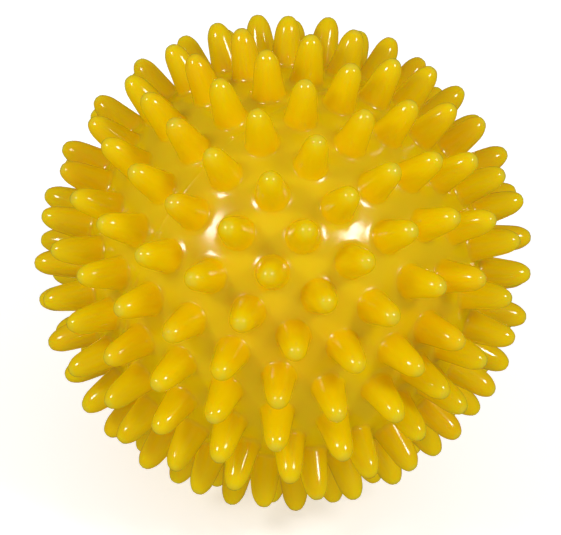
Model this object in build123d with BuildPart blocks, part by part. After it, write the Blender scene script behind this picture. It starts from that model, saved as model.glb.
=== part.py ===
from build123d import *
import os
from itertools import combinations
from math import cos, radians, sin, tan

# A hollow ball in soft PVC, covered with blunt spikes, for hand, foot and back massage. Skin and
# spikes are one moulding. The ball is pumped up through a seat in a moulded neck, closed by a plug.
#
# Frame: origin at the ball's centre. +X runs along the mould's axis to the spike at its pole, and
# -X to the valve. +Z is up: the ball stands on four tips, two on each side of the parting plane X=0.

# Skin, measured between the spikes
skin_radius = 40.0
skin_wall = 2.5

# One spike: a cone with a blunt nose and a flared root. Heights are measured from the skin.
spike_height = 10.0
spike_root_radius = 3.4
spike_taper = 7.2
nose_length = 3.9
nose_bluntness = 0.57
flare_height = 1.0
flare_width = 0.8
flare_skirt = 0.3
flare_gap = 0.05
root_embedment = 1.2

# Rings of spikes, counted from the parting plane out to the pole of each half. A turn is the angle
# from +Y, about +X, to a ring's first spike.
ring_pitch = 14.0
pole_ring_angle = 12.5
ring_counts = (26, 24, 23, 18, 12, 6)
front_turns = (0, 0, 13, 15, 0, 12)
back_turns = (0, 3, 11, 10, 15, 12)

# Valve seat: a soft sleeve bonded into the neck, with a flange let into the pad on top of it
seat_bore_radius = 1.5
seat_wall = 1.1
seat_flange_width = 0.9
seat_flange_thickness = 1.0
seat_chamfer = 0.3

# Neck: moulded in one with the skin, round the seat
neck_depth = 12.0
pad_rise = 0.4
pad_rim = 0.9
pad_edge_radius = 0.3

# Plug: a shank that fills the bore, a head over the flange, and a lip for a fingernail
plug_bore_clearance = 0.05
plug_head_gap = 0.1
plug_head_inset = 0.3
plug_head_thickness = 1.2
plug_head_edge = 0.4
plug_shank_length = 10.0
plug_nose_edge = 0.6
plug_lip_reach = 0.9
plug_lip_width = 2.4
plug_lip_thickness = 0.6
plug_lip_corner = 0.4

os.makedirs("parts", exist_ok=True)


def ring_latitudes():
    """Angles of the rings of one half, above the parting plane."""
    even_rings = [ring_pitch * (ring + 0.5) for ring in range(len(ring_counts) - 1)]
    return even_rings + [90 - pole_ring_angle]


def spike_directions(side, turns):
    """Unit vectors along the spikes of one half. side is 1 for the front half and -1 for the back."""
    directions = []
    for latitude, count, turn in zip(ring_latitudes(), ring_counts, turns):
        for number in range(count):
            azimuth = radians(turn + 360 * number / count)
            across = cos(radians(latitude))
            along = side * sin(radians(latitude))
            directions.append(Vector(along, across * cos(azimuth), across * sin(azimuth)))
    return directions


front_pole = Vector(1, 0, 0)
directions = [front_pole] + spike_directions(1, front_turns) + spike_directions(-1, back_turns)
spike_places = [Plane(origin=(0, 0, 0), z_dir=direction).location for direction in directions]

# A flare is no wider than the skin has room for between the two spikes that stand closest.
closest = min(one.get_angle(other) for one, other in combinations(directions, 2))
room = skin_radius * sin(radians(closest / 2)) - flare_gap
foot_radius = min(spike_root_radius + flare_width, room)

# One spike in its own place on the +Z axis, ready to be turned about the ball's centre
taper = tan(radians(spike_taper))
tip_radius = skin_radius + spike_height
shoulder = tip_radius - nose_length
shoulder_radius = spike_root_radius - (shoulder - skin_radius) * taper
flare_top_radius = spike_root_radius - flare_height * taper
foot = skin_radius - root_embedment

with BuildPart() as spike:
    with BuildSketch(Plane.XZ):
        with BuildLine():
            axis_line = Line((0, tip_radius), (0, foot))
            foot_line = Line(axis_line @ 1, (foot_radius, foot))
            skirt = Line(foot_line @ 1, (foot_radius, skin_radius - flare_skirt))
            cone = Line((flare_top_radius, skin_radius + flare_height), (shoulder_radius, shoulder))
            TangentArc(cone @ 0, skirt @ 1, tangent=cone % 0 * -1)
            Bezier(
                cone @ 1,
                cone @ 1 + cone % 1 * nose_length * nose_bluntness,
                (shoulder_radius * nose_bluntness, tip_radius),
                axis_line @ 0,
            )
        make_face()
    revolve(axis=Axis.Z)

# The valve stands on the -X pole. Its plane faces outwards, level with the top of the pad.
pad_top = Plane(origin=(-skin_radius - pad_rise, 0, 0), x_dir=(0, 1, 0), z_dir=(-1, 0, 0))
seat_radius = seat_bore_radius + seat_wall
seat_flange_radius = seat_radius + seat_flange_width
neck_radius = seat_flange_radius + pad_rim

# Both spheres have their poles on the mould's axis, and their seams clear of the rings' first spikes.
skin_turn = (0, 90, 7)

with BuildPart() as ball_shell:
    Sphere(skin_radius, rotation=skin_turn)
    with Locations(*spike_places):
        add(spike.part)
    Sphere(skin_radius - skin_wall, rotation=skin_turn, mode=Mode.SUBTRACT)
    with BuildSketch(pad_top):
        Circle(neck_radius)
    extrude(amount=-neck_depth)
    pad_edge = edges().filter_by_position(Axis.X, -skin_radius - pad_rise, -skin_radius - pad_rise)
    fillet(pad_edge, radius=pad_edge_radius)
    with BuildSketch(pad_top):
        Circle(seat_radius)
    extrude(amount=-neck_depth, mode=Mode.SUBTRACT)
    with BuildSketch(pad_top):
        Circle(seat_flange_radius)
    extrude(amount=-seat_flange_thickness, mode=Mode.SUBTRACT)

with BuildPart() as valve_seat:
    with BuildSketch(pad_top):
        Circle(seat_flange_radius)
    extrude(amount=-seat_flange_thickness)
    with BuildSketch(pad_top):
        Circle(seat_radius)
    extrude(amount=-neck_depth)
    with BuildSketch(pad_top):
        Circle(seat_bore_radius)
    extrude(amount=-neck_depth, mode=Mode.SUBTRACT)
    inner_rim = edges().group_by(Axis.X)[-1].sort_by(Edge.length)[-1]
    chamfer(inner_rim, length=seat_chamfer)

# The lip points midway between two spikes of the ring round the valve.
plug_head_radius = seat_flange_radius - plug_head_inset
plug_base = pad_top.offset(plug_head_gap)
lip_turn = -(back_turns[-1] + 180 / ring_counts[-1])

with BuildPart() as valve_plug:
    with BuildSketch(plug_base):
        Circle(plug_head_radius)
    extrude(amount=plug_head_thickness)
    head_edge = edges().group_by(Axis.X)[0]
    fillet(head_edge, radius=plug_head_edge)
    with BuildSketch(plug_base):
        with PolarLocations(plug_head_radius, 1, start_angle=lip_turn):
            RectangleRounded(2 * plug_lip_reach, plug_lip_width, plug_lip_corner)
    extrude(amount=plug_lip_thickness)
    with BuildSketch(plug_base):
        Circle(seat_bore_radius - plug_bore_clearance)
    extrude(amount=-plug_shank_length)
    shank_nose = edges().group_by(Axis.X)[-1]
    fillet(shank_nose, radius=plug_nose_edge)

pieces = {"ball_shell": ball_shell, "valve_seat": valve_seat, "valve_plug": valve_plug}
for name, piece in pieces.items():
    piece.part.label = name
    export_step(piece.part, f"parts/{name}.step")
    print(name, "volume", round(piece.part.volume, 1), "mm3")
print("spikes", len(directions), "across tips", 2 * tip_radius, "mm")
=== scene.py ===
# %% [markdown]
# # A spiky massage ball
#
# The ball is one hollow moulding in soft, glossy PVC: a thin skin with about two hundred blunt
# spikes, and a small air valve on the pole that faces away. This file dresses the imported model.
# It loads the model as a fixed frame, sets up a camera and a studio, makes the finishes, builds the
# skin as one closed mesh, and finishes the valve. Lengths are in metres throughout.

# %% Load the frame
import math

import bmesh
import bpy
import numpy as np
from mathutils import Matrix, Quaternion, Vector
from mathutils.geometry import delaunay_2d_cdt, interpolate_bezier


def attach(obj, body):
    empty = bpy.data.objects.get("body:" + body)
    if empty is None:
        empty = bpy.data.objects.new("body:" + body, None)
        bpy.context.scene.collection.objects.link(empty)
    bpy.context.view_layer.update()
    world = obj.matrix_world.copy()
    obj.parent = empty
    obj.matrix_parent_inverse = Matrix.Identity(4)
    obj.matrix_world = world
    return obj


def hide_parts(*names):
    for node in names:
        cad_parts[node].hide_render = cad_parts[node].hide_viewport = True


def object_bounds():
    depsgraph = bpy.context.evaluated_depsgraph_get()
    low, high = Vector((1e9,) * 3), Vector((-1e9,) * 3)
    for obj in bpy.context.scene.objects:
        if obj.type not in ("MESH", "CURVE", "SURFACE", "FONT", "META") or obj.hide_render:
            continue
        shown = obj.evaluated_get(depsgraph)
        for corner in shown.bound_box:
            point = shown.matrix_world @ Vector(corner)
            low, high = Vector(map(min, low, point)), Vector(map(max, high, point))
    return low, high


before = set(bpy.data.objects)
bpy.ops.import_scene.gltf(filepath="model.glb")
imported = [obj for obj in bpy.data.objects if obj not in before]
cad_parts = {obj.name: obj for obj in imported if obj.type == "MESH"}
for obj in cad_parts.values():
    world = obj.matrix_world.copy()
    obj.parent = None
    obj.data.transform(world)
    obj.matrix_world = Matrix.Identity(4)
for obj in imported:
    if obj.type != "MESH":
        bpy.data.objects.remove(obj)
cad_low, cad_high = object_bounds()
MM = 0.001
scene = bpy.context.scene
print("CAD box in mm", [round(size / MM, 1) for size in cad_high - cad_low])

# %% [markdown]
# ## Camera
#
# A long lens from about seven ball widths away keeps the ball's outline round and its spikes even.
# The camera looks down at the pole spike of the front half from above and to one side, and is
# tipped a little, so that the mould's axis runs down to the right. A camera's own axes are easy to
# state as a turn about the ball (azimuth), a height above the horizon (elevation) and a roll.

# %% Camera
VIEW_AZIMUTH = math.radians(46.4)
VIEW_ELEVATION = math.radians(36.4)
VIEW_ROLL = math.radians(7.1)
VIEW_DISTANCE = 723 * MM
VIEW_LENS = 231.0
BALL_ABOVE_CENTRE = 1.1 * MM
BALL_RIGHT_OF_CENTRE = 0.6 * MM


def towards(azimuth, elevation):
    """The unit vector that points at an azimuth (0 is -Y, a quarter turn is +X) and an elevation."""
    level = math.cos(elevation)
    return Vector((math.sin(azimuth) * level, -math.cos(azimuth) * level, math.sin(elevation)))


view_back = towards(VIEW_AZIMUTH, VIEW_ELEVATION)
upright = (-view_back).to_track_quat("-Z", "Y")
view_turn = upright @ Quaternion((0, 0, 1), VIEW_ROLL)
view_right = view_turn @ Vector((1, 0, 0))
view_up = view_turn @ Vector((0, 1, 0))

camera = bpy.data.objects.new("camera", bpy.data.cameras.new("camera"))
scene.collection.objects.link(camera)
camera.data.lens = VIEW_LENS
camera.data.clip_start = 0.01
camera.rotation_mode = "QUATERNION"
camera.rotation_quaternion = view_turn
aim = -BALL_ABOVE_CENTRE * view_up - BALL_RIGHT_OF_CENTRE * view_right
camera.location = aim + view_back * VIEW_DISTANCE
scene.camera = camera
print("camera at", [round(x, 3) for x in camera.location])

# %% [markdown]
# ## Studio
#
# Two soft square lamps stand left and right of the camera, a little above it. Each tip and the bare
# skin between the spikes mirrors both, so they set the sheen. A matt white card below the camera
# throws light into the underside, and it is too dull to show as a highlight. A soft world fills the
# shadows. The camera sees it as a bright backdrop, and the gloss sees it dim, so no haze veils the
# colour. The floor is a pale sheet, large enough to fill every view. It takes the ball's shadow but
# throws no light back, so the spikes at the edge keep their deep colour.

# %% Lights, world and floor
LAMP_DISTANCE = 1.1
LAMP_SIZE = 0.22
LAMP_TURN = math.radians(39)
LAMP_LIFT = math.radians(18)
LAMP_POWER = 2.7
CARD_SIZE = 0.45
CARD_LIFT = math.radians(-24)
CARD_POWER = 2.1
SKY_STRENGTH = 0.56
BACKDROP_STRENGTH = 0.97
MIRRORED_STRENGTH = 0.04
FLOOR_WIDTH = 12.0


def place_lamp(name, size, turn, lift, power):
    """A square lamp aimed at the ball, turned sideways and lifted from the camera's own direction."""
    lamp = bpy.data.objects.new(name, bpy.data.lights.new(name, "AREA"))
    scene.collection.objects.link(lamp)
    lamp.data.size = size
    lamp.data.energy = power
    aside = view_right * math.sin(turn) * math.cos(lift) + view_up * math.sin(lift)
    direction = aside + view_back * math.cos(turn) * math.cos(lift)
    lamp.location = direction * LAMP_DISTANCE
    lamp.rotation_mode = "QUATERNION"
    lamp.rotation_quaternion = direction.to_track_quat("Z", "Y")
    return lamp


place_lamp("lamp_left", LAMP_SIZE, -LAMP_TURN, LAMP_LIFT, LAMP_POWER)
place_lamp("lamp_right", LAMP_SIZE, LAMP_TURN, LAMP_LIFT, LAMP_POWER)
place_lamp("white_card", CARD_SIZE, 0, CARD_LIFT, CARD_POWER).visible_glossy = False

world = bpy.data.worlds.new("studio")
scene.world = world
world.use_nodes = True
backdrop = world.node_tree.nodes["Background"]
backdrop.inputs["Color"].default_value = (1, 1, 1, 1)
ray = world.node_tree.nodes.new("ShaderNodeLightPath")
strength = None
for kind, wanted in (("Is Camera Ray", BACKDROP_STRENGTH), ("Is Glossy Ray", MIRRORED_STRENGTH)):
    choose = world.node_tree.nodes.new("ShaderNodeMix")
    choose.inputs[2].default_value = SKY_STRENGTH
    choose.inputs[3].default_value = wanted
    world.node_tree.links.new(ray.outputs[kind], choose.inputs["Factor"])
    if strength:
        world.node_tree.links.new(strength, choose.inputs[2])
    strength = choose.outputs[0]
world.node_tree.links.new(strength, backdrop.inputs["Strength"])
scene.view_settings.view_transform = "Standard"

floor_mesh = bpy.data.meshes.new("floor")
half = FLOOR_WIDTH / 2
corners = [(-half, -half), (half, -half), (half, half), (-half, half)]
floor_mesh.from_pydata([(x, y, cad_low.z) for x, y in corners], [], [(0, 1, 2, 3)])
floor = bpy.data.objects.new("floor", floor_mesh)
scene.collection.objects.link(floor)
floor.visible_diffuse = False
floor.visible_glossy = False
print("floor at", round(cad_low.z / MM, 2), "mm")

# %% [markdown]
# ## Writing materials as sums
#
# A node tree for a material is mostly arithmetic. The class below wraps one socket. Python's own
# operators on it add Math nodes, so a mask reads as the sum that it is, and one method makes any
# other node from its type, its settings and its inputs.


# %% A small language for node trees
class Flow:
    """A socket in a node tree. Arithmetic on it adds Math nodes to the tree."""

    def __init__(self, tree, socket=None):
        self.tree = tree
        self.socket = socket

    def node(self, kind, settings=None, inputs=None, output=0):
        """Makes a node of this kind and returns one of its outputs. Inputs go by name or number."""
        made = self.tree.nodes.new(kind)
        for name, value in (settings or {}).items():
            setattr(made, name, value)
        for name, value in (inputs or {}).items():
            if isinstance(value, Flow):
                self.tree.links.new(value.socket, made.inputs[name])
            else:
                made.inputs[name].default_value = value
        return Flow(self.tree, made.outputs[output]) if len(made.outputs) else made

    def math(self, operation, other=0.0, swapped=False):
        """One Math node on this value and another, in the other order if swapped."""
        pair = (other, self) if swapped else (self, other)
        return self.node("ShaderNodeMath", {"operation": operation}, dict(enumerate(pair)))

    def __add__(self, other):
        return self.math("ADD", other)

    def __sub__(self, other):
        return self.math("SUBTRACT", other)

    def __rsub__(self, other):
        return self.math("SUBTRACT", other, swapped=True)

    def __mul__(self, other):
        return self.math("MULTIPLY", other)

    def __truediv__(self, other):
        return self.math("DIVIDE", other)

    __radd__ = __add__
    __rmul__ = __mul__

    def ramp(self, start, end):
        """Goes smoothly from 0 where this value is at start to 1 where it is at end."""
        inputs = {"Value": self, "From Min": start, "From Max": end}
        return self.node("ShaderNodeMapRange", {"interpolation_type": "SMOOTHSTEP"}, inputs)

    def blend(self, first, second):
        """A colour that goes from first to second as this value goes from 0 to 1."""
        inputs = {"Factor": self, 6: first, 7: second}
        return self.node("ShaderNodeMix", {"data_type": "RGBA"}, inputs, output=2)


def new_material(name):
    """An empty material with a Principled shader on its output. Returns it, its start and shader."""
    material = bpy.data.materials.new(name)
    material.use_nodes = True
    material.node_tree.nodes.clear()
    start = Flow(material.node_tree)
    shader = material.node_tree.nodes.new("ShaderNodeBsdfPrincipled")
    output = material.node_tree.nodes.new("ShaderNodeOutputMaterial")
    material.node_tree.links.new(shader.outputs["BSDF"], output.inputs["Surface"])
    return material, start, shader


def connect(flow, shader, name):
    """Feeds one of the shader's inputs."""
    flow.tree.links.new(flow.socket, shader.inputs[name])


def noise(place, scale, detail=2.0):
    """Soft noise from 0 to 1. The scale is in bumps per metre."""
    return place.node("ShaderNodeTexNoise", {}, {"Vector": place, "Scale": scale, "Detail": detail})


# %% [markdown]
# ## A white sheet for the floor
#
# The floor is a matt white sheet, lit a little from behind like the top of a light table, so it
# stays white round the ball and only a soft contact shadow shows.

# %% The floor's finish
FLOOR_GLOW = 0.45


def make_floor_white():
    material, start, shader = new_material("floor_white")
    place = start.node("ShaderNodeTexCoord", output=3)
    fibres = noise(place, 8.0).ramp(0.3, 0.7)
    connect(fibres.blend((0.84, 0.84, 0.84, 1), (0.86, 0.86, 0.86, 1)), shader, "Base Color")
    shader.inputs["Roughness"].default_value = 1.0
    shader.inputs["Specular IOR Level"].default_value = 0.0
    shader.inputs["Emission Color"].default_value = (1, 1, 1, 1)
    shader.inputs["Emission Strength"].default_value = FLOOR_GLOW
    return material


floor_mesh.materials.append(make_floor_white())

# %% [markdown]
# ## Yellow PVC
#
# The skin is plasticised PVC with a little pigment. Light goes some way into it and comes out
# warmer, so the valleys between the spikes turn orange while the spikes stay lemon yellow. That is
# done by subsurface scattering, whose radius is long for red and very short for blue, and by a base
# colour that is a little warmer on the skin, which is shade painted into the valleys. Each spike's
# nose is painted paler and greener, a painted patch of light on the tip. Fingers polish the spikes,
# so they are a little glossier than the skin. The distance from the ball's centre says where on a
# spike a point lies.

# %% The ball's finish
TIP_RADIUS = 50 * MM
SKIN_RADIUS = 40 * MM
SPIKE_YELLOW = (0.85, 0.61, 0.0, 1)
# Painted shade: the skin between the spikes is painted warmer than the spikes, for the orange shade in
# the valleys.
VALLEY_SHADE_YELLOW = (0.93, 0.60, 0.0, 1)
DEEP_YELLOW = (0.86, 0.47, 0.0, 1)
# Painted light: a paler, greener spot on each spike's nose.
NOSE_PAINTED_LIGHT = (0.64, 0.58, 0.05, 1)
ROOT_DEPTH = 4.0 * MM
NOSE_SPOT_DEPTH = 1.0 * MM
CLOUDS, BLOTCHES, SPECKS, RIPPLES, GRAIN = 45.0, 160.0, 300.0, 180.0, 900.0
SKIN_ROUGHNESS = 0.13
SPIKE_POLISH = 0.05


def make_ball_pvc():
    """Glossy translucent yellow, with a painted spot of light on each nose and painted shade warming the
    valleys.
    """
    material, start, shader = new_material("ball_gloss")
    place = start.node("ShaderNodeTexCoord", output=3)
    height = place.node("ShaderNodeVectorMath", {"operation": "LENGTH"}, {0: place}, output=1)
    on_spike = height.ramp(SKIN_RADIUS, SKIN_RADIUS + ROOT_DEPTH)
    nose_light_mask = height.ramp(TIP_RADIUS - NOSE_SPOT_DEPTH, TIP_RADIUS - 0.1 * MM)
    # Painted shade: the skin between the spikes takes the warmer valley colour.
    colour = on_spike.blend(VALLEY_SHADE_YELLOW, SPIKE_YELLOW)
    colour = (noise(place, CLOUDS).ramp(0.45, 0.8) * 0.5).blend(colour, DEEP_YELLOW)
    # Painted light: a pale greenish spot near each tip.
    colour = (nose_light_mask * noise(place, SPECKS).ramp(0.2, 0.7) * 0.55).blend(colour, NOSE_PAINTED_LIGHT)
    connect(colour, shader, "Base Color")
    gloss = SKIN_ROUGHNESS - on_spike * SPIKE_POLISH
    connect(gloss + noise(place, BLOTCHES, 4.0) * 0.1, shader, "Roughness")
    grain = noise(place, GRAIN, 3.0) * 0.3 + noise(place, RIPPLES) * 0.7
    bump = place.node("ShaderNodeBump", {}, {"Height": grain, "Strength": 0.15, "Distance": 0.15 * MM})
    connect(bump, shader, "Normal")
    shader.inputs["Subsurface Weight"].default_value = 0.6
    shader.inputs["Subsurface Radius"].default_value = (1.0, 0.35, 0.03)
    shader.inputs["Subsurface Scale"].default_value = 5 * MM
    shader.inputs["IOR"].default_value = 1.54
    shader.inputs["Specular IOR Level"].default_value = 0.7
    return material


ball_pvc = make_ball_pvc()
print("ball finish has", len(ball_pvc.node_tree.nodes), "nodes")

# %% [markdown]
# ## Where the spikes stand
#
# The mould has two halves that meet at a plane across its axis, which is X. Each half carries rings
# of spikes at even steps of latitude, with fewer spikes in each ring towards the pole. The front
# half has a spike on the pole itself, and the back half has the valve there. A ring's first spike
# stands at its own turn about the axis.

# %% The rings
RING_PITCH = 14.0
POLE_RING_ANGLE = 12.5
RING_COUNTS = (26, 24, 23, 18, 12, 6)
FRONT_TURNS = (0, 0, 13, 15, 0, 12)
BACK_TURNS = (0, 3, 11, 10, 15, 12)


def half_of_the_ball(side, turns):
    """Unit vectors along the spikes of one half. side is 1 at the front and -1 at the back."""
    latitudes = [RING_PITCH * (ring + 0.5) for ring in range(len(RING_COUNTS) - 1)]
    latitudes.append(90 - POLE_RING_ANGLE)
    found = []
    for latitude, count, turn in zip(latitudes, RING_COUNTS, turns):
        along, across = math.sin(math.radians(latitude)), math.cos(math.radians(latitude))
        for number in range(count):
            angle = math.radians(turn + 360 * number / count)
            found.append(Vector((side * along, across * math.cos(angle), across * math.sin(angle))))
    return found


directions = [Vector((1, 0, 0))] + half_of_the_ball(1, FRONT_TURNS) + half_of_the_ball(-1, BACK_TURNS)
spike_turns = [direction.to_track_quat("Z", "Y") for direction in directions]
print(len(directions), "spikes")

# %% [markdown]
# ## One spike
#
# A spike is a surface of revolution, so it needs only half an outline: a fillet that leaves the
# skin without a crease, a straight cone, and a blunt nose drawn as a Bezier curve. The outline is
# turned in ten steps. The result is a cage of sixty faces, few enough to repeat over the whole
# ball, and one round of subdivision at the end makes it round. Subdivision pulls a cage inwards, so
# the cage is first pushed out until its smoothed points land on the outline. The lowest ring stays
# on the skin's sphere, where the web between the spikes will meet it.

# %% The spike's outline
SPIKE_HEIGHT = TIP_RADIUS - SKIN_RADIUS
RIM_RADIUS = 4.2 * MM
FILLET_RADIUS = 1.0 * MM
SPIKE_TAPER = math.radians(7.2)
NOSE_LENGTH = 3.9 * MM
NOSE_BLUNTNESS = 0.57
SPIKE_SIDES = 10
FILLET_STEPS = 2
NOSE_STEPS = 3


def spike_outline():
    """Points (distance from the spike's axis, height above the skin), from the rim to the tip."""
    rim_height = math.sqrt(SKIN_RADIUS**2 - RIM_RADIUS**2) - SKIN_RADIUS
    rim_slope = math.asin(RIM_RADIUS / SKIN_RADIUS)
    centre_out = RIM_RADIUS + FILLET_RADIUS * math.sin(rim_slope)
    centre_up = rim_height + FILLET_RADIUS * math.cos(rim_slope)
    first, last = math.pi / 2 - rim_slope, SPIKE_TAPER
    outline = []
    for step in range(FILLET_STEPS + 1):
        angle = first + (last - first) * step / FILLET_STEPS
        outline.append((centre_out - FILLET_RADIUS * math.cos(angle),
                        centre_up - FILLET_RADIUS * math.sin(angle)))
    root_out, root_up = outline[-1]
    shoulder_up = SPIKE_HEIGHT - NOSE_LENGTH
    shoulder_out = root_out - (shoulder_up - root_up) * math.tan(SPIKE_TAPER)
    reach = NOSE_LENGTH * NOSE_BLUNTNESS
    shoulder = Vector((shoulder_out, shoulder_up, 0))
    along_cone = Vector((-math.sin(SPIKE_TAPER), math.cos(SPIKE_TAPER), 0)) * reach
    above_shoulder = Vector((shoulder_out * NOSE_BLUNTNESS, SPIKE_HEIGHT, 0))
    tip = Vector((0, SPIKE_HEIGHT, 0))
    nose = interpolate_bezier(shoulder, shoulder + along_cone, above_shoulder, tip, NOSE_STEPS + 1)
    return np.array(outline + [(point.x, point.y) for point in nose])


def caged(outline, sides, rounds=8):
    """Pushes an outline out, so that one subdivision of the turned cage lands on it again."""
    narrowing = math.cos(math.pi / sides)
    cage = outline.copy()
    for _ in range(rounds):
        mirrored = np.vstack([cage, cage[-2] * (-1, 1)])
        smoothed = (mirrored[:-2] + 6 * mirrored[1:-1] + mirrored[2:]) / 8 * (narrowing, 1)
        cage[1:] += (outline[1:] - smoothed)
    return cage


def spun_mesh(name, outline, sides):
    """Turns an outline of (out, up) points about Z. Its last point is the tip that closes it."""
    vertices, faces = [], []
    for out, up in outline[:-1]:
        for side in range(sides):
            angle = 2 * math.pi * side / sides
            vertices.append((out * math.cos(angle), out * math.sin(angle), up))
    for ring in range(len(outline) - 2):
        for side in range(sides):
            here, after = ring * sides + side, ring * sides + (side + 1) % sides
            faces.append((here, after, after + sides, here + sides))
    last = (len(outline) - 2) * sides
    vertices.append((0, 0, outline[-1][1]))
    faces += [(last + side, last + (side + 1) % sides, last + sides) for side in range(sides)]
    mesh = bpy.data.meshes.new(name)
    mesh.from_pydata(vertices, [], faces)
    return mesh


wanted = spike_outline()
spike_mesh = spun_mesh("spike", caged(wanted, SPIKE_SIDES), SPIKE_SIDES)
spike = bpy.data.objects.new("spike", spike_mesh)
scene.collection.objects.link(spike)
print("a spike has", len(spike_mesh.polygons), "faces; radius at the skin",
      round(wanted[FILLET_STEPS][0] / MM, 2), "mm")

# %% [markdown]
# ## The neck and the inside
#
# On the valve's pole the skin rises to a small round pad. A hole goes through the pad and down a
# neck that is moulded in one with the skin, and the inside of the skin is a second, smaller sphere.
# All of that is one more outline, turned about the mould's axis.

# %% The neck's outline
SKIN_WALL = 2.5 * MM
PAD_TOP = 40.4 * MM
PAD_RADIUS = 4.4 * MM
PAD_RIM = 4.45 * MM
PAD_EDGE = 0.3 * MM
RECESS_RADIUS = 3.53 * MM
RECESS_DEPTH = 1.0 * MM
BORE_RADIUS = 2.6 * MM
NECK_DEPTH = 12 * MM
NECK_SIDES = 32
INSIDE_STEPS = 24
MOUTH_CHAMFER = 0.12 * MM
PAD_FOOT = 0.1 * MM
EDGE_STEPS = 3


def neck_outline():
    """Points (out from X, distance from the centre towards -X), from the pad's rim to the far pole."""
    rim_up = math.sqrt(SKIN_RADIUS**2 - PAD_RIM**2)
    neck_end = PAD_TOP - NECK_DEPTH
    outline = [(PAD_RIM, rim_up), (PAD_RADIUS, rim_up + PAD_FOOT)]
    for step in range(EDGE_STEPS + 1):
        angle = math.radians(90 * step / EDGE_STEPS)
        outline.append((PAD_RADIUS - PAD_EDGE + PAD_EDGE * math.cos(angle),
                        PAD_TOP - PAD_EDGE + PAD_EDGE * math.sin(angle)))
    outline += [(RECESS_RADIUS + MOUTH_CHAMFER, PAD_TOP), (RECESS_RADIUS, PAD_TOP - MOUTH_CHAMFER)]
    outline += [(RECESS_RADIUS, PAD_TOP - RECESS_DEPTH), (BORE_RADIUS, PAD_TOP - RECESS_DEPTH)]
    outline += [(BORE_RADIUS, neck_end), (PAD_RADIUS, neck_end)]
    inside = SKIN_RADIUS - SKIN_WALL
    start = math.asin(PAD_RADIUS / inside)
    for step in range(INSIDE_STEPS + 1):
        angle = start + (math.pi - start) * step / INSIDE_STEPS
        outline.append((inside * math.sin(angle), inside * math.cos(angle)))
    return outline[:-1] + [(0, -inside)]


neck_mesh = spun_mesh("neck", neck_outline(), NECK_SIDES)
neck_turn = Vector((-1, 0, 0)).to_track_quat("Z", "Y")
neck_mesh.transform(neck_turn.to_matrix().to_4x4())
print("the neck and the inside have", len(neck_mesh.polygons), "faces")

# %% [markdown]
# ## The web between the spikes
#
# What is left of the skin is a sphere with a round hole under each spike. It has to meet every rim
# point for point, or the skin would leak. A Delaunay triangulation does that in a plane, and a
# stereographic projection lays the sphere out on a plane, with circles staying circles. The pole of
# the projection sits in the hole for the neck, so nothing is lost. Extra points fill the wider gaps,
# and three rows of points carry the fine raised line where the halves of the mould meet.

# %% Points on the skin
SEAM_WIDTH = 0.3 * MM
SEAM_HEIGHT = 0.13 * MM
SEAM_POINTS = 320
FILL_POINTS = 7000
FILL_CLEARANCE = 0.6 * MM


def rim_points():
    """The lowest ring of every spike, in its place on the skin."""
    ring = [vertex.co.copy() for vertex in spike_mesh.vertices[:SPIKE_SIDES]]
    placed = []
    for direction, turn in zip(directions, spike_turns):
        placed.append([turn @ point + direction * SKIN_RADIUS for point in ring])
    return placed


def seam_points():
    """Three rows of points round the ball, on and beside the plane where the mould parts."""
    rows = []
    for offset in (-SEAM_WIDTH, 0, SEAM_WIDTH):
        radius = math.sqrt(SKIN_RADIUS**2 - offset**2)
        for number in range(SEAM_POINTS):
            angle = 2 * math.pi * number / SEAM_POINTS
            rows.append(Vector((offset, radius * math.cos(angle), radius * math.sin(angle))))
    return rows


def fill_points():
    """An even spiral of points over the sphere, without those near a spike, the seam or the neck."""
    number = np.arange(FILL_POINTS) + 0.5
    along = 1 - 2 * number / FILL_POINTS
    angle = number * math.pi * (3 - math.sqrt(5))
    across = np.sqrt(1 - along**2)
    points = SKIN_RADIUS * np.stack([across * np.cos(angle), across * np.sin(angle), along], 1)
    axes = SKIN_RADIUS * np.array(directions)
    to_spike = np.linalg.norm(points[:, None] - axes[None], axis=2).min(1)
    to_neck = np.linalg.norm(points - np.array([-SKIN_RADIUS, 0, 0]), axis=1)
    clear = (to_spike > RIM_RADIUS + FILL_CLEARANCE) & (to_neck > PAD_RIM + FILL_CLEARANCE)
    clear &= np.abs(points[:, 0]) > SEAM_WIDTH + FILL_CLEARANCE
    return [Vector(point) for point in points[clear]]


rims = rim_points()
neck_rim = [vertex.co.copy() for vertex in neck_mesh.vertices[:NECK_SIDES]]
loose = seam_points() + fill_points()
print(len(loose), "points between the rims")

# %% The web
def flattened(point):
    """Where a point on the skin falls in the stereographic projection from the valve's pole."""
    return Vector((point.y, point.z)) * 2 * SKIN_RADIUS / (SKIN_RADIUS + point.x)


def make_web():
    """The skin with holes for the spikes and the neck, with the seam raised."""
    points = [point for rim in rims for point in rim]
    holes = [list(range(first, first + SPIKE_SIDES)) for first in range(0, len(points), SPIKE_SIDES)]
    points += neck_rim + loose
    flat = [flattened(point) for point in points]
    _, _, faces, came_from, _, inside = delaunay_2d_cdt(flat, [], holes, 0, 1e-9)
    places = [points[sources[0]].copy() for sources in came_from]
    for place in places:
        if abs(place.x) < SEAM_WIDTH / 2:
            place *= 1 + SEAM_HEIGHT / SKIN_RADIUS
    kept = [face for face, hole in zip(faces, inside) if not hole]
    mesh = bpy.data.meshes.new("web")
    mesh.from_pydata(places, [], kept)
    return mesh


web_mesh = make_web()
print("the web has", len(web_mesh.polygons), "faces")

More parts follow.
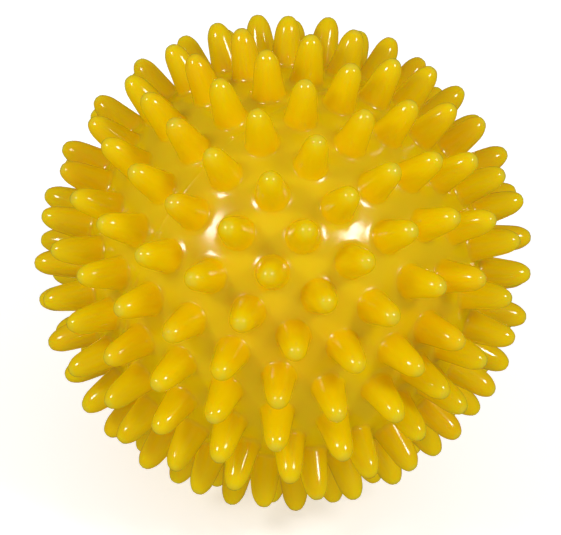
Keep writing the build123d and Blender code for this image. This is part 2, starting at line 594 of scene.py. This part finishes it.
# %% [markdown]
# ## Putting the skin together
#
# Geometry Nodes set a copy of the spike on every seed point. Each seed carries the turn that brings
# the spike's rim onto the web's hole. Real spikes never leave the mould quite straight, so each
# copy also gets a small lean across its own axis, which grows with the height above the skin and
# leaves the rim where it was. The four spikes that the ball stands on stay straight. The copies are
# made real, joined to the web and the neck, welded at the rims and smoothed together, so that skin
# and spikes run into each other as one moulding. Creased edges keep the neck crisp.

# %% Seeds for the spikes
STANDING_HEIGHT = -0.97


def store(mesh, name, kind, domain, values):
    """Adds an attribute to a mesh and fills it."""
    field = "vector" if kind == "FLOAT_VECTOR" else "value"
    mesh.attributes.new(name, kind, domain).data.foreach_set(field, values)


seeds_mesh = bpy.data.meshes.new("seeds")
seeds_mesh.from_pydata([direction * SKIN_RADIUS for direction in directions], [], [])
store(seeds_mesh, "turn", "FLOAT_VECTOR", "POINT", [x for turn in spike_turns for x in turn.to_euler()])
free = [1.0 if direction.z > STANDING_HEIGHT else 0.0 for direction in directions]
store(seeds_mesh, "free_to_lean", "FLOAT", "POINT", free)
seeds = bpy.data.objects.new("seeds", seeds_mesh)
scene.collection.objects.link(seeds)
print(free.count(0.0), "spikes stand on the floor")

# %% The web and the neck as one open mesh
def joined_mesh(name, parts):
    """One mesh from several."""
    joined = bmesh.new()
    for part in parts:
        joined.from_mesh(part)
    mesh = bpy.data.meshes.new(name)
    joined.to_mesh(mesh)
    joined.free()
    return mesh


store(neck_mesh, "crisp", "FLOAT", "EDGE", [1.0] * len(neck_mesh.edges))
store(web_mesh, "crisp", "FLOAT", "EDGE", [0.0] * len(web_mesh.edges))
base_mesh = joined_mesh("web_and_neck", [web_mesh, neck_mesh])
print("web and neck have", len(base_mesh.polygons), "faces")

# %% The tree
LEAN = 0.35 * MM
LEAN_SEED = 7
WELD_DISTANCE = 0.01 * MM
SMOOTHING_LEVEL = 1


def make_spiky_skin_tree():
    """A tree that plants spikes on a web, welds them to it and smooths the whole."""
    tree = bpy.data.node_groups.new("spiky_skin", "GeometryNodeTree")
    kinds = {"Web": "Geometry", "Seeds": "Object", "Spike": "Object", "Spike Height": "Float",
             "Skin Radius": "Float", "Lean": "Float", "Lean Seed": "Int", "Weld Distance": "Float",
             "Smoothing": "Int", "Finish": "Material"}
    sockets = {}
    for name, kind in kinds.items():
        made = tree.interface.new_socket(name, in_out="INPUT", socket_type="NodeSocket" + kind)
        sockets[name] = made.identifier
    tree.interface.new_socket("Skin", in_out="OUTPUT", socket_type="NodeSocketGeometry")
    group = tree.nodes.new("NodeGroupInput")
    given = {name: Flow(tree, group.outputs[name]) for name in sockets}
    start = Flow(tree)
    position = start.node("GeometryNodeInputPosition")

    def attribute(name, kind):
        return start.node("GeometryNodeInputNamedAttribute", {"data_type": kind}, {"Name": name})

    def shape_of(which):
        return start.node("GeometryNodeObjectInfo", {}, {"Object": given[which]}, output="Geometry")

    # The lean is a random push with its part along the spike's axis taken out.
    push = start.node("FunctionNodeRandomValue", {"data_type": "FLOAT_VECTOR"},
                      {"Min": (-1, -1, -1), "Max": (1, 1, 1), "Seed": given["Lean Seed"]})
    axis = start.node("ShaderNodeVectorMath", {"operation": "NORMALIZE"}, {0: position})
    along = start.node("ShaderNodeVectorMath", {"operation": "PROJECT"}, {0: push, 1: axis})
    across = start.node("ShaderNodeVectorMath", {"operation": "SUBTRACT"}, {0: push, 1: along})
    across = start.node("ShaderNodeVectorMath", {"operation": "SCALE"},
                        {0: across, "Scale": attribute("free_to_lean", "FLOAT")})
    planted = start.node("GeometryNodeStoreNamedAttribute",
                         {"data_type": "FLOAT_VECTOR", "domain": "POINT"},
                         {"Geometry": shape_of("Seeds"), "Name": "lean", "Value": across})
    turn = start.node("FunctionNodeEulerToRotation", {}, {"Euler": attribute("turn", "FLOAT_VECTOR")})
    copies = start.node("GeometryNodeInstanceOnPoints", {},
                        {"Points": planted, "Instance": shape_of("Spike"), "Rotation": turn})
    real = start.node("GeometryNodeRealizeInstances", {}, {"Geometry": copies})

    # The push grows with the square of the height above the skin.
    from_centre = start.node("ShaderNodeVectorMath", {"operation": "LENGTH"}, {0: position}, output=1)
    share = ((from_centre - given["Skin Radius"]) / given["Spike Height"]).math("MAXIMUM", 0.0)
    offset = start.node("ShaderNodeVectorMath", {"operation": "SCALE"},
                        {0: attribute("lean", "FLOAT_VECTOR"), "Scale": share * share * given["Lean"]})
    bent = start.node("GeometryNodeSetPosition", {}, {"Geometry": real, "Offset": offset})
    joined = tree.nodes.new("GeometryNodeJoinGeometry")
    tree.links.new(bent.socket, joined.inputs[0])
    tree.links.new(given["Web"].socket, joined.inputs[0])
    welded = start.node("GeometryNodeMergeByDistance", {},
                        {"Geometry": Flow(tree, joined.outputs[0]), "Distance": given["Weld Distance"]})
    rounded = start.node("GeometryNodeSubdivisionSurface", {},
                         {"Mesh": welded, "Level": given["Smoothing"],
                          "Edge Crease": attribute("crisp", "FLOAT")})
    smooth = start.node("GeometryNodeSetShadeSmooth", {}, {"Geometry": rounded})
    whole = start.node("GeometryNodeRealizeInstances", {}, {"Geometry": smooth})
    finished = start.node("GeometryNodeSetMaterial", {}, {"Geometry": whole, "Material": given["Finish"]})
    output = tree.nodes.new("NodeGroupOutput")
    tree.links.new(finished.socket, output.inputs[0])
    return tree, sockets


skin_tree, skin_sockets = make_spiky_skin_tree()
print("the tree has", len(skin_tree.nodes), "nodes")


# %% The skin as one plain mesh
def run_tree(name, mesh, tree, sockets, values):
    """Puts the tree on a mesh with these input values, and returns the result as a plain object."""
    carrier = bpy.data.objects.new(name + "_carrier", mesh)
    scene.collection.objects.link(carrier)
    modifier = carrier.modifiers.new("nodes", "NODES")
    modifier.node_group = tree
    for label, value in values.items():
        modifier[sockets[label]] = value
    bpy.context.view_layer.update()
    evaluated = carrier.evaluated_get(bpy.context.evaluated_depsgraph_get())
    plain = bpy.data.meshes.new_from_object(evaluated)
    plain.name = name
    carrier.modifiers.clear()
    bpy.data.objects.remove(carrier)
    made = bpy.data.objects.new(name, plain)
    scene.collection.objects.link(made)
    return made


def face_outwards(mesh):
    """Turns every face of a closed mesh to point out of the material."""
    shape = bmesh.new()
    shape.from_mesh(mesh)
    bmesh.ops.recalc_face_normals(shape, faces=shape.faces)
    open_edges = sum(1 for edge in shape.edges if len(edge.link_faces) != 2)
    volume = shape.calc_volume(signed=True)
    shape.to_mesh(mesh)
    shape.free()
    print(mesh.name, len(mesh.polygons), "faces,", open_edges, "open edges,",
          round(volume * 1e6, 1), "cm3")


skin = run_tree("ball_skin", base_mesh, skin_tree, skin_sockets,
                {"Seeds": seeds, "Spike": spike, "Spike Height": SPIKE_HEIGHT,
                 "Skin Radius": SKIN_RADIUS, "Lean": LEAN, "Lean Seed": LEAN_SEED,
                 "Weld Distance": WELD_DISTANCE, "Smoothing": SMOOTHING_LEVEL, "Finish": ball_pvc})
face_outwards(skin.data)
for helper in (seeds, spike):
    bpy.data.objects.remove(helper)
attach(skin, "ball")
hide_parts("ball_shell")

# %% [markdown]
# ## The valve
#
# The seat is a stiffer, darker grade of the same yellow PVC, welded into the neck while both are
# hot. The plug is unpigmented PVC, so it is milky white, and fingers leave it a little yellower
# round the rim and the lip. Both are satin: their moulds are spark eroded, which leaves a fine
# even grain, where the ball's own mould is polished. The mould for the plug's head is turned on a
# lathe, and the rings that the tool leaves show faintly on the head. The two pieces keep their CAD
# shapes, and each gets its finish in its object's material slot.

# %% The valve's finishes
SEAT_YELLOW = (0.72, 0.40, 0.0, 1)
SEAT_WORN = (0.80, 0.50, 0.01, 1)
PLUG_WHITE = (0.80, 0.79, 0.72, 1)
PLUG_GRIMY = (0.66, 0.58, 0.36, 1)
HEAD_RADIUS = 3.4 * MM
HANDLED_WIDTH = 1.4 * MM
TURNING_PITCH = 0.3 * MM
STAINS, SPARK_GRAIN = 700.0, 4000.0


def make_satin_pvc(name, middle, rim, turning):
    """Satin PVC that goes from the middle colour to the rim's. turning is how much the rings show."""
    material, start, shader = new_material(name)
    place = start.node("ShaderNodeTexCoord", output=3)
    flat = place.node("ShaderNodeVectorMath", {"operation": "MULTIPLY"}, {0: place, 1: (0, 1, 1)})
    from_axis = flat.node("ShaderNodeVectorMath", {"operation": "LENGTH"}, {0: flat}, output=1)
    stains = noise(place, STAINS, 4.0)
    handled = from_axis.ramp(HEAD_RADIUS - HANDLED_WIDTH, HEAD_RADIUS) * stains.ramp(0.3, 0.7)
    connect(handled.blend(middle, rim), shader, "Base Color")
    connect(0.42 + stains * 0.14 - handled * 0.08, shader, "Roughness")
    rings = (from_axis * (2 * math.pi / TURNING_PITCH)).math("SINE")
    grain = noise(place, SPARK_GRAIN) * (1 - turning) + rings * turning
    bump = place.node("ShaderNodeBump", {}, {"Height": grain, "Strength": 0.3, "Distance": 0.03 * MM})
    connect(bump, shader, "Normal")
    shader.inputs["Subsurface Weight"].default_value = 0.3
    shader.inputs["Subsurface Radius"].default_value = (1.0, 0.8, 0.5)
    shader.inputs["Subsurface Scale"].default_value = 1 * MM
    shader.inputs["IOR"].default_value = 1.5
    return material


finishes = {"valve_seat": ("seat_pvc", make_satin_pvc("seat_satin", SEAT_YELLOW, SEAT_WORN, 0.0)),
            "valve_plug": ("plug_pvc", make_satin_pvc("plug_satin", PLUG_WHITE, PLUG_GRIMY, 0.5))}
for node_name, (slot_name, finish) in finishes.items():
    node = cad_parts[node_name]
    for material_slot in node.material_slots:
        material_slot.material = finish
    print(node_name, "has the finish", finish.name)
